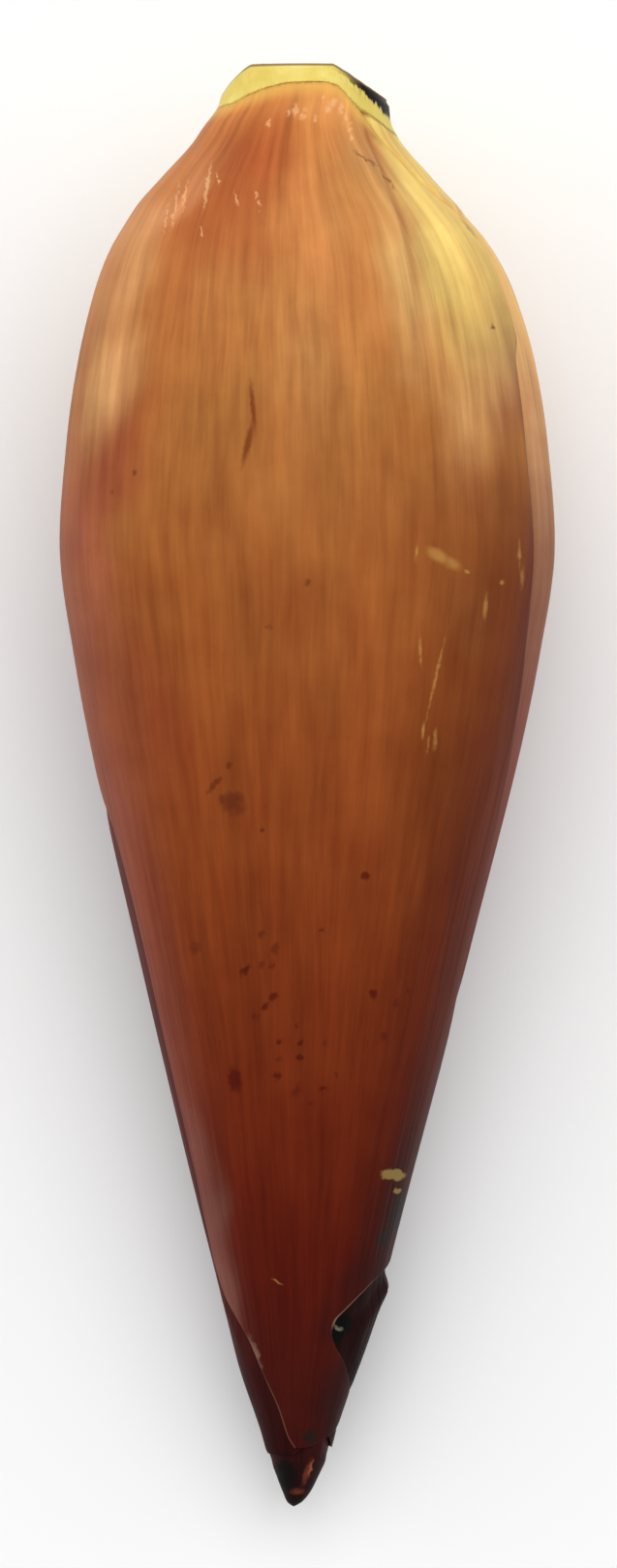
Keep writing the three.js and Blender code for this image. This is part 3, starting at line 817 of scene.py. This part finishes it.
def spots(tree, here, families, soft):
    """One mask for many marks. A family is (tilt, stretch, marks), a mark (x, y, half width) in pixels.

    Turned by the family's tilt and squeezed by its stretch, each mark is round, so one distance tells how
    near it is. Marks of like size share one mask: one narrower than the widest has its middle lifted off the
    plane, where the widest mark's ball cuts a smaller circle. The edge is soft by a share of the widest."""
    places = [turned_nodes(tree, here, tilt, stretch) for tilt, stretch, _ in families]
    marks = [(half, family, x, y) for family, (_, _, some) in enumerate(families) for x, y, half in some]
    marks.sort(reverse=True)
    mask = None
    while marks:
        widest = marks[0][0]
        alike = [mark for mark in marks if mark[0] > widest * LIKE_SIZE]
        marks = marks[len(alike):]
        nearest = None
        for half, family, x, y in alike:
            lift = math.sqrt(widest**2 - half**2) * pixel
            centre = (*turned(*on_bud(x, y), *families[family][:2]), lift)
            distance = vector_calc(tree, "DISTANCE", {0: places[family], 1: centre}, "Value")
            nearest = distance if nearest is None else calc(tree, "MINIMUM", nearest, distance)
        radius = widest * pixel
        group = between(tree, nearest, radius * (1 + soft), radius * (1 - soft))
        mask = group if mask is None else calc(tree, "MAXIMUM", mask, group)
    return mask


# %% [markdown]
# ## The bracts' skin
# A bract's skin is waxy: it shines softly, veins show as light and dark streaks, and its colour runs from
# pale copper near the stalk to dark maroon at the tip. The colour along the bract is a ramp. Soft patches
# and broad masks laid over it give the pale shoulder, the pink and mauve sides, painted highlights on both
# shoulders and painted shade on the right flank. Then come the veins, and the marks and edges last.


# %% How a skin starts and ends
def new_material(name):
    """A material with nodes, its node tree, and its shader's inputs."""
    material = bpy.data.materials.new(name)
    material.use_nodes = True
    tree = material.node_tree
    return material, tree, tree.nodes["Principled BSDF"].inputs


def start_material(name, roughness, gloss):
    """A material with only its Principled shader, and where each point lies on the bud."""
    material, tree, shader = new_material(name)
    shader["Roughness"].default_value = roughness
    shader["Specular IOR Level"].default_value = gloss
    return material, tree, add(tree, "ShaderNodeGroup", node_tree=PLACE).outputs


def finish_material(material, color, height=None, strength=0.5, distance=0.0002):
    """Feeds the colour to the shader, and the height by way of a bump."""
    tree = material.node_tree
    shader = tree.nodes["Principled BSDF"]
    tree.links.new(color, shader.inputs["Base Color"])
    if height is not None:
        inputs = {"Height": height, "Strength": strength, "Distance": distance}
        tree.links.new(add(tree, "ShaderNodeBump", inputs).outputs[0], shader.inputs["Normal"])
    print(material.name, "has", len(tree.nodes), "nodes")
    return material


def number(tree, name):
    """A number that the mesh keeps at each point."""
    return add(tree, "ShaderNodeAttribute", attribute_name=name).outputs["Fac"]


# %% Veins, colours and marks
def veined(tree, place, color, seed, contrast):
    """The colour with its veins and a cloudy mottle, and the veins' height for the bump.

    The narrow veins are weaker near the base and on the flanks, and all of them are calmer lower down."""
    down = place["Down"]
    inputs = {"Around": place["Around"], "Down": down, "Seed": seed}
    streak = add(tree, "ShaderNodeGroup", inputs, node_tree=VEINS).outputs
    fine, middle, broad = (calc(tree, "SUBTRACT", streak[size], 0.5) for size in ("Fine", "Middle", "Broad"))
    cloud = calc(tree, "SUBTRACT", noise(tree, flat_place(tree, place), 0.09, 4.0, 0.6), 0.5)
    narrow = line_of(tree, middle, 1.25, calc(tree, "MULTIPLY", fine, 0.5))
    past_base = line_of(tree, between(tree, down, 5, 60), 0.35, 0.65)
    flank = between(tree, calc(tree, "ABSOLUTE", place["Around"]), 30, 80)
    narrow = both(tree, narrow, past_base, line_of(tree, flank, -0.5, 1.0))
    total = line_of(tree, broad, 1.2, narrow)
    calm = steps(tree, (down, 55, 85), (down, 160, 125))
    calm = calc(tree, "MAXIMUM", calm, between(tree, down, 150, 185))
    total = both(tree, total, line_of(tree, calm, -0.28, 1.0))
    total = line_of(tree, cloud, 0.5, total)
    gain = line_of(tree, total, contrast, 1.0)
    hue = line_of(tree, cloud, 1.2, middle)
    yellower = line_of(tree, hue, contrast * 0.45, gain)
    shade = add(tree, "ShaderNodeCombineColor", {0: gain, 1: yellower, 2: yellower}).outputs[0]
    return blend(tree, 1.0, color, shade, "MULTIPLY"), streak["Height"]


def along(tree, place, stops):
    """Colours down the bud, each stop a distance in millimetres and a colour."""
    share = calc(tree, "DIVIDE", place["Down"], LENGTH)
    return ramp(tree, share, [(down / LENGTH, srgb(*color)) for down, color in stops])


PATCH_SOFT = 0.9


def patched(tree, place, color, patches):
    """Soft patches over a colour, each (x, y, half width, stretch, tilt, strength, colour)."""
    here = flat_place(tree, place, ragged=9.0, grain=0.06)
    for x, y, half_width, stretch, tilt, strength, tint in patches:
        mask = spots(tree, here, [(tilt, stretch, [(x, y, half_width)])], PATCH_SOFT)
        color = tinted(tree, color, tint, mask, strength)
    return color


def marked(tree, place, color, marks):
    """Marks with clear edges over a colour, each (ragged, soft, strength, colour, families)."""
    here = {ragged: flat_place(tree, place, ragged) for ragged in sorted({mark[0] for mark in marks})}
    for ragged, soft, strength, tint, families in marks:
        color = tinted(tree, color, tint, spots(tree, here[ragged], families, soft), strength)
    return color


# %% Front bract: colours and patches
FRONT_COLORS = [
    (5, (222, 144, 76)), (14, (204, 128, 68)), (30, (198, 126, 68)), (60, (168, 105, 50)),
    (90, (154, 86, 38)), (120, (140, 69, 28)), (150, (123, 52, 19)), (180, (105, 35, 11)),
    (205, (86, 20, 6)), (240, (60, 14, 10)),
]
YELLOW = (236, 204, 116)
# The tan of the painted highlight on the right shoulder.
SHOULDER_HIGHLIGHT = (216, 166, 108)
FRONT_PATCHES = [
    (228, 205, 46, 1.8, -24, 0.74, (156, 70, 34)),
    (272, 155, 28, 1.5, -10, 0.6, (166, 78, 40)),
    (186, 198, 12, 3.4, -34, 0.45, (226, 156, 108)),
    (152, 228, 13, 2.2, -34, 0.35, (228, 166, 116)),
    (345, 112, 44, 0.32, 0, 0.4, (228, 164, 96)),
    (391, 163, 30, 1.5, 20, 0.74, (182, 136, 82)),
    (338, 240, 24, 2.0, 0, 0.35, (176, 110, 64)),
    (376, 225, 34, 2.0, 10, 0.35, (202, 148, 80)),
    (425, 285, 27, 3.4, 8, 0.6, (222, 180, 114)),
    (479, 296, 29, 2.8, 20, 0.6, YELLOW),
    (517, 358, 20, 2.6, 8, 0.9, (146, 94, 60)),
    # A painted highlight on the right shoulder.
    (492, 424, 26, 2.2, -6, 0.5, SHOULDER_HIGHLIGHT),
    (526, 420, 12, 3.4, -4, 0.3, (148, 90, 66)),
    (496, 516, 34, 1.2, -6, 0.5, (132, 72, 38)),
    (316, 368, 32, 1.8, 0, 0.4, (212, 150, 86)),
    (288, 474, 46, 1.4, 0, 0.42, (146, 86, 40)),
    (128, 290, 22, 2.8, -20, 0.5, (228, 168, 110)),
    (185, 345, 24, 3.0, -6, 0.45, (156, 84, 40)),
    # A painted highlight on the left shoulder.
    (117, 402, 26, 1.8, -22, 0.56, (244, 186, 124)),
    (116, 488, 26, 2.6, -32, 0.72, (146, 62, 38)),
    (95, 602, 15, 4.0, 6, 0.35, (200, 108, 76)),
    (486, 630, 20, 2.0, 0, 0.4, (164, 102, 54)),
    (158, 735, 34, 2.4, 12, 0.4, (136, 56, 32)),
    (128, 830, 16, 3.0, 14, 0.4, (112, 54, 44)),
    (440, 770, 28, 6.0, -6, 0.36, (112, 56, 22)),
    (212, 1240, 13, 6.0, 12, 0.4, (126, 94, 84)),
    (428, 1258, 28, 3.2, -12, 0.5, (40, 16, 14)),
    (338, 1362, 13, 1.6, -16, 0.5, (36, 15, 15)),
    (372, 1320, 18, 3.0, -16, 0.4, (38, 16, 16)),
    (346, 1442, 16, 2.6, -16, 0.5, (40, 16, 16)),
    (240, 1365, 10, 4.0, 16, 0.4, (130, 92, 80)),
]

# %% Front bract: marks
# Each list of marks is made of families, as `spots` takes them.
DARK_SPECKS = [
    (0, 1, [
        (270, 856, 2.4), (509, 339, 2.4),
        (377, 905, 4), (282, 1030, 4.4), (385, 1027, 4.2), (288, 1076, 2.8), (310, 1077, 3),
        (309, 1092, 3.4), (286, 1112, 4), (334, 1125, 3.6),
    ]),
    (6, 1.9, [(242, 1115, 6.4)]),
    (-48, 2.2, [(253, 1002, 3)]),
    (-30, 2, [(274, 1039, 2.4)]),
]
FAINT_SPECKS = [
    (0, 1, [
        (238, 829, 9.5), (245, 834, 7.5), (232, 827, 6.5), (246, 825, 6),
        (317, 601, 3), (277, 648, 3), (140, 490, 2.4), (115, 508, 2.4), (236, 791, 4), (201, 980, 4.6),
        (270, 966, 3), (270, 997, 3), (281, 997, 3), (332, 962, 2.6), (264, 1051, 3), (422, 1023, 3),
        (306, 1060, 2.8), (337, 1076, 3), (289, 1095, 3), (320, 1141, 2.8), (348, 1110, 2.6), (396, 1070, 4),
    ]),
    (-20, 2, [(284, 980, 2.8), (409, 1037, 2.8), (306, 1127, 3)]),
    (-42, 4, [(221, 811, 2.6)]),
    (57, 8, [(379, 165, 1.9)]),
    (38, 9, [(401, 187, 1.3)]),
]
DARK_SCARS = [
    (5, 10, [(261, 420, 2.3)]),
    (-14, 6.4, [(256, 458, 3.3)]),
]
PALE_SCRATCHES = [
    (60, 2, [(452, 574, 5.5), (466, 582, 4), (482, 591, 1.5)]),
    (62, 7, [(286, 1324, 0.8)]),
    (2, 10, [(536, 573, 1.1), (434, 674, 1.2)]),
    (-4, 5, [
        (539, 597, 1.6), (501, 627, 2), (437, 755, 1.5), (442, 769, 1.3), (449, 764, 1.6), (430, 571, 1.4),
    ]),
    (-13, 26, [(450, 700, 1.2)]),
    (0, 1, [(518, 602, 2.2)]),
]
# Pale flecks near the top. The first family is painted sheen on the bract's upper edge; the other two are pale
# flecks.
TOP_FLECKS_AND_SHEEN = [
    (-10, 2.2, [
        (305, 113, 2.8), (313, 119, 2.4), (298, 117, 1.8), (345, 106, 2.8), (352, 112, 2.4), (339, 112, 2),
        (357, 123, 2), (361, 133, 2), (277, 127, 1.8), (334, 102, 1.8), (363, 142, 1.6), (325, 122, 1.8),
    ]),
    (-8, 13, [(214, 193, 1.8), (191, 203, 1.2), (181, 214, 1.3), (172, 226, 1.1)]),
    (12, 6, [(225, 185, 1.2), (266, 205, 1.4), (244, 205, 1.2), (208, 240, 1.2)]),
]
CHIPS = [(80, 2.2, [(406, 1213, 6)]), (0, 1, [(410, 1230, 3.6)])]
STAINS = [(-14, 3, [(410, 1252, 7)]), (-30, 2, [(397, 1278, 6)]), (0, 1, [(320, 1484, 7)])]
# Two darker tan streaks near the top of the front bract.
DARKER_STREAKS = [(42, 3.2, [(388, 139, 4.4)]), (40, 6, [(484, 236, 2)])]
# Each line is (ragged, soft, strength, colour, families), as `marked` takes it.
FRONT_MARKS = [
    (0.5, 0.6, 0.8, (112, 50, 14), DARK_SCARS),
    (0.5, 0.8, 0.6, (124, 92, 44), DARKER_STREAKS),
    (1.3, 0.5, 0.5, (74, 20, 10), FAINT_SPECKS),
    (1.3, 0.45, 0.7, (66, 10, 4), DARK_SPECKS),
    (1.3, 0.4, 0.85, (30, 24, 20), STAINS),
    (0.5, 0.6, 0.42, (204, 156, 80), PALE_SCRATCHES),
    (1.3, 0.6, 0.5, (248, 190, 136), TOP_FLECKS_AND_SHEEN),
    (1.3, 0.2, 0.9, (142, 116, 64), CHIPS),
]
BRUISE = [(1.6, 0.6, 0.6, (150, 112, 92), [(18, 3, [(262, 1398, 5)])])]


# %% Front bract: material
def front_material():
    """Patches, flanks and veins come first, then the marks, and last the crease, the margins and the seam."""
    material, tree, place = start_material("copper_bract", 0.5, 0.06)
    down, around = place["Down"], place["Around"]
    margin, base, past_crease = (number(tree, name) for name in ("FromMargin", "FromBase", "PastCrease"))
    color = patched(tree, place, along(tree, place, FRONT_COLORS), FRONT_PATCHES)

    # The flank beyond the crease stayed in the shade of the plant and is pale yellow at the shoulder.
    wavy = line_of(tree, noise(tree, flat_place(tree, place), 0.12), 7.0, past_crease)
    color = tinted(tree, color, YELLOW, steps(tree, (wavy, 3, 16), (down, 61, 28)), 0.85)
    # Lower down the right flank gets painted shade, and the left flank a mauve bloom.
    right = both(tree, steps(tree, (around, 20, 62), (down, 64, 92)), 0.9)
    color = blend(tree, right, color, srgb(176, 146, 140), "MULTIPLY")
    left = steps(tree, (around, -38, -78), (down, 48, 90))
    color = tinted(tree, color, (148, 78, 64), left, 0.5)
    color, height = veined(tree, place, color, 1.0, 0.6)
    color = marked(tree, place, color, FRONT_MARKS)

    # The crease gets a thin line of painted shade. A band of painted shade lies beside the right margin, and
    # the margin itself is a thin dark line, partly its own brown edge and partly painted shade. The torn lip
    # and the tip's hem are pale.
    line = steps(tree, (past_crease, -2.2, -0.4), (past_crease, 2, 0.2), (down, 7, 14), (down, 60, 34))
    color = tinted(tree, color, (142, 74, 40), line, 0.34)
    shaded = steps(tree, (margin, 6, 1), (around, 30, 50), (down, 66, 84), (down, 176, 150))
    color = tinted(tree, color, (88, 32, 20), shaded, 0.5)
    browned = steps(tree, (margin, 0.9, 0.1), (down, 24, 44), (down, 200, 190))
    color = tinted(tree, color, (70, 28, 18), browned, 0.6)
    lip = steps(tree, (margin, 0.6, 0.25), (down, 205, 207), (down, 218.6, 217), (around, 5, 15))
    color = tinted(tree, color, (148, 122, 98), lip, 0.7)
    hem = steps(tree, (margin, 0.36, 0.1), (down, 224, 229), (around, 2, -4))
    color = tinted(tree, color, (140, 90, 70), hem, 0.5)
    color = marked(tree, place, color, BRUISE)

    # Where the bract grows from the stalk it is pale, with a thin brown line that noise breaks up.
    broken = between(tree, noise(tree, flat_place(tree, place), 1.3), 0.42, 0.6)
    color = tinted(tree, color, (238, 190, 96), between(tree, base, 3.4, 0.2), 0.6)
    color = tinted(tree, color, (168, 112, 60), between(tree, base, 0.5, 0.05), broken, 0.4)
    return finish_material(material, color, height)


front_bract.data.materials.append(front_material())

# %% [markdown]
# ## The side bracts and the bud
# The two bracts at the sides and the bud have the same skin in other colours. The right bract is tan where
# the front bract left it in the light, and nearly black where it springs up through the notch. The left one
# is dull mauve, and the bud's tip is almost black, with a painted coppery highlight on its rolled margin.

# %% Side bracts and bud: colours and marks
RIGHT_COLORS = [
    (12, (236, 202, 112)), (34, (230, 186, 110)), (50, (212, 156, 98)), (70, (188, 132, 88)),
    (84, (146, 92, 62)), (115, (128, 68, 54)), (140, (108, 50, 38)), (165, (92, 35, 24)),
    (200, (70, 20, 14)), (209, (34, 14, 13)), (240, (28, 9, 10)),
]
LEFT_COLORS = [
    (60, (136, 78, 56)), (110, (104, 54, 44)), (150, (92, 42, 36)), (190, (84, 36, 32)),
    (212, (80, 32, 26)), (226, (56, 16, 16)), (240, (44, 12, 13)),
]
BUD_COLORS = [(225, (66, 17, 17)), (238, (54, 14, 14)), (244, (36, 11, 10)), (250, (24, 12, 10))]
RIGHT_MARKS = [
    (1.2, 0.4, 1.0, (12, 12, 10), [(0, 1, [(353, 1368, 11), (349, 1380, 7)])]),
    (1.2, 0.5, 0.7, (128, 120, 104), [(60, 2, [(349, 1372, 2.4)])]),
]
BUD_MARKS_AND_HIGHLIGHT = [
    # The first line is the coppery streak on the rolled margin at the tip and a crescent under it, partly
    # painted highlight; the second is a brighter painted glint on that margin.
    (1.0, 0.7, 0.55, (132, 62, 38), [(-18, 4, [(317, 1522, 3)]), (0, 0.5, [(307, 1541, 6)])]),
    (1.0, 0.6, 0.45, (196, 120, 84), [(-14, 5, [(321, 1517, 1.4)])]),
    (1.0, 0.35, 0.9, (14, 12, 11), [(0, 1.5, [(295, 1524, 11)]), (0, 0.5, [(303, 1556, 9)])]),
]


# %% Side bracts and bud: materials
def side_material(name, colors, marks):
    """Colours, veins and marks, then a browned margin and seam."""
    material, tree, place = start_material(name, 0.5, 0.03)
    color, height = veined(tree, place, along(tree, place, colors), 5.0, 0.7)
    color = marked(tree, place, color, marks)
    color = tinted(tree, color, (60, 26, 18), between(tree, number(tree, "FromMargin"), 0.9, 0.1), 0.5)
    color = tinted(tree, color, (150, 96, 52), between(tree, number(tree, "FromBase"), 0.8, 0.2), 0.6)
    return finish_material(material, color, height)


def bud_material():
    """Colours, veins, marks and a painted highlight on the rolled margin."""
    material, tree, place = start_material("maroon_bud", 0.5, 0.05)
    color, height = veined(tree, place, along(tree, place, BUD_COLORS), 9.0, 0.8)
    return finish_material(material, marked(tree, place, color, BUD_MARKS_AND_HIGHLIGHT), height)


right_bract.data.materials.append(side_material("mauve_bract", RIGHT_COLORS, RIGHT_MARKS))
left_bract.data.materials.append(side_material("dark_bract", LEFT_COLORS, []))
inner_bud.data.materials.append(bud_material())

# %% [markdown]
# ## The cut stalk
# Cut flesh is moist and pale yellow, and browns where the air reaches it. Here it browned most on the
# bevel, and dark streaks run down from there. The texture's steps down the skin place the rim, the band and
# the dots.


# %% Stalk material
def stalk_material():
    """Mottled flesh, then the bevel's shade, fibres, dark runs and band, the brown rim and face, and dots."""
    material, tree, place = start_material("cut_stalk", 0.5, 0.12)
    below, turn = place["Down"], place["Around"]
    mottle = noise(tree, add(tree, "ShaderNodeTexCoord").outputs["Object"], 260.0, 4.0)
    color = ramp(tree, mottle, [(0.3, srgb(226, 200, 96)), (0.7, srgb(238, 219, 122))])

    def streaks(per_degree, per_step, detail):
        return noise(tree, stretched(tree, turn, below, per_degree, per_step), 1.0, detail)

    bevel = steps(tree, (turn, 14, 44), (turn, 150, 110))
    color = tinted(tree, color, (206, 186, 92), bevel, between(tree, below, 2, 7), 0.55)
    fibres = streaks(0.5, 0.25, 3.0)
    color = tinted(tree, color, (214, 176, 84), between(tree, fibres, 0.5, 0.75), 0.35)
    runs = steps(tree, (streaks(0.9, 0.12, 3.0), 0.5, 0.66), (below, 9, 3.5))
    color = tinted(tree, color, (110, 92, 40), bevel, runs, 0.6)
    ragged = line_of(tree, streaks(0.35, 0.1, 4.0), -6.0, below)
    ragged = line_of(tree, between(tree, turn, 24, 72), -3.0, ragged)
    band = steps(tree, (turn, 98, 78), (ragged, 0.9, -0.2))
    color = tinted(tree, color, (10, 6, 3), bevel, band)
    color = tinted(tree, color, (110, 78, 40), between(tree, below, 1.7, 1.1), 0.75)
    face = steps(tree, (below, 0.9, 0.2), (mottle, 0.3, 0.6))
    color = tinted(tree, color, (150, 112, 60), face, 0.6)
    dots = steps(tree, (below, 10, 10.8), (streaks(0.7, 0.4, 2.0), 0.45, 0.6))
    color = tinted(tree, color, (176, 124, 56), dots, 0.4)
    return finish_material(material, color, mottle, 0.3, 0.0003)


stalk.data.materials.append(stalk_material())


# %% Floret material
def floret_material():
    """Cream with a faint mottle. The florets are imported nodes, so there is no place on the bud to read."""
    material, tree, shader = new_material("cream_floret")
    shader["Roughness"].default_value = 0.55
    mottle = noise(tree, add(tree, "ShaderNodeTexCoord").outputs["Object"], 180.0, 3.0)
    color = ramp(tree, mottle, [(0.3, srgb(226, 208, 150)), (0.7, srgb(244, 232, 190))])
    return finish_material(material, color)


cream = floret_material()
for hand in ("front_floret_hand", "right_floret_hand", "left_floret_hand"):
    nodes[hand].data.materials.clear()
    nodes[hand].data.materials.append(cream)

# %% [markdown]
# ## Floor and light
# The floor is a plain pale sheet. A big soft light above and a weaker one on each side leave only a soft
# shadow. The broad highlights on the shoulders are painted into the front bract's colour.

# %% Studio
FLOOR_HALF = 1.5  # metres
# Each light is (name, place, size, power), in metres and watts.
LIGHTS = [
    ("above", (0.1, 0.5, 1.6), (1.8, 1.8), 17),
    ("left", (-1.1, 0.3, 0.8), (0.8, 1.2), 3),
    ("right", (1.1, 0.3, 0.8), (0.8, 1.2), 2),
]
SKY = 0.55  # strength of the even light from all round
floor_mesh = bpy.data.meshes.new("floor")
corners = [(x * FLOOR_HALF, y * FLOOR_HALF, 0) for x, y in ((-1, -1), (1, -1), (1, 1), (-1, 1))]
floor_mesh.from_pydata(corners, [], [(0, 1, 2, 3)])
floor = new_object("floor", floor_mesh)
paper, _, shader = new_material("paper")
shader["Base Color"].default_value = (0.92, 0.92, 0.92, 1)
shader["Roughness"].default_value = 0.9
floor_mesh.materials.append(paper)


def soft_light(name, place, size, power):
    """A square area light that faces the bud."""
    data = bpy.data.lights.new(name, "AREA")
    data.shape = "RECTANGLE"
    data.size, data.size_y = size
    data.energy = power
    lamp = new_object(name, data)
    lamp.location = place
    lamp.rotation_euler = (Vector((0, 0, 0.04)) - Vector(place)).to_track_quat("-Z", "Y").to_euler()


for light in LIGHTS:
    soft_light(*light)
world = bpy.data.worlds.new("studio")
bpy.context.scene.world = world
world.use_nodes = True
sky = world.node_tree.nodes["Background"]
sky.inputs["Color"].default_value = (1, 1, 1, 1)
sky.inputs["Strength"].default_value = SKY
bpy.context.scene.view_settings.view_transform = "Standard"
